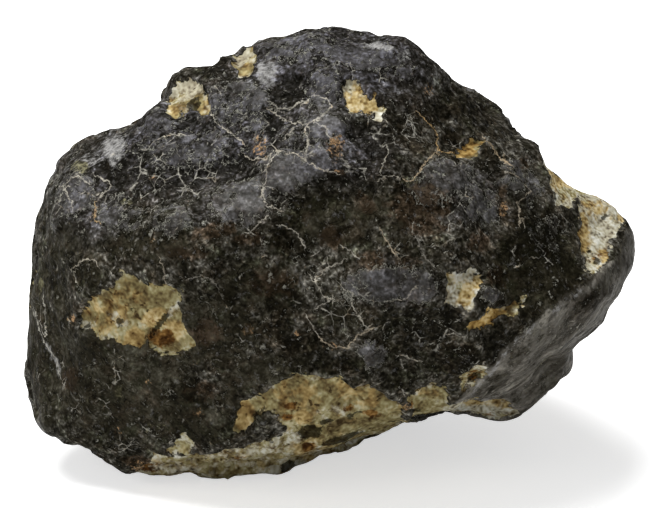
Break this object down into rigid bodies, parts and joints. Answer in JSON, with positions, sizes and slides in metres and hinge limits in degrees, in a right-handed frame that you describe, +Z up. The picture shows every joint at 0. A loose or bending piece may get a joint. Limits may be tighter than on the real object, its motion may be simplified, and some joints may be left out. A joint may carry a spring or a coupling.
{
  "type": "chondrite meteorite",
  "caption": "Blocky stony meteorite with a dark, finely cracked fusion crust, shallow thumbprint hollows, a low side lobe and pale broken patches, resting on a small flat spot.",
  "frame": {"origin": "middle of the stone's box, level with the surface that it rests on", "axes": "+X to the stone's right along its longest extent, seen from the front; -Y towards the front, the large dark face with the break along its bottom; +Z up"},
  "size_m": [0.102, 0.073, 0.0739],
  "materials": {
    "meteorite": "dark satin fusion crust, matte grey-green and rust-brown where it is broken"
  },
  "bodies": {
    "root": {"meteorite": "meteorite"}
  },
  "joints": []
}
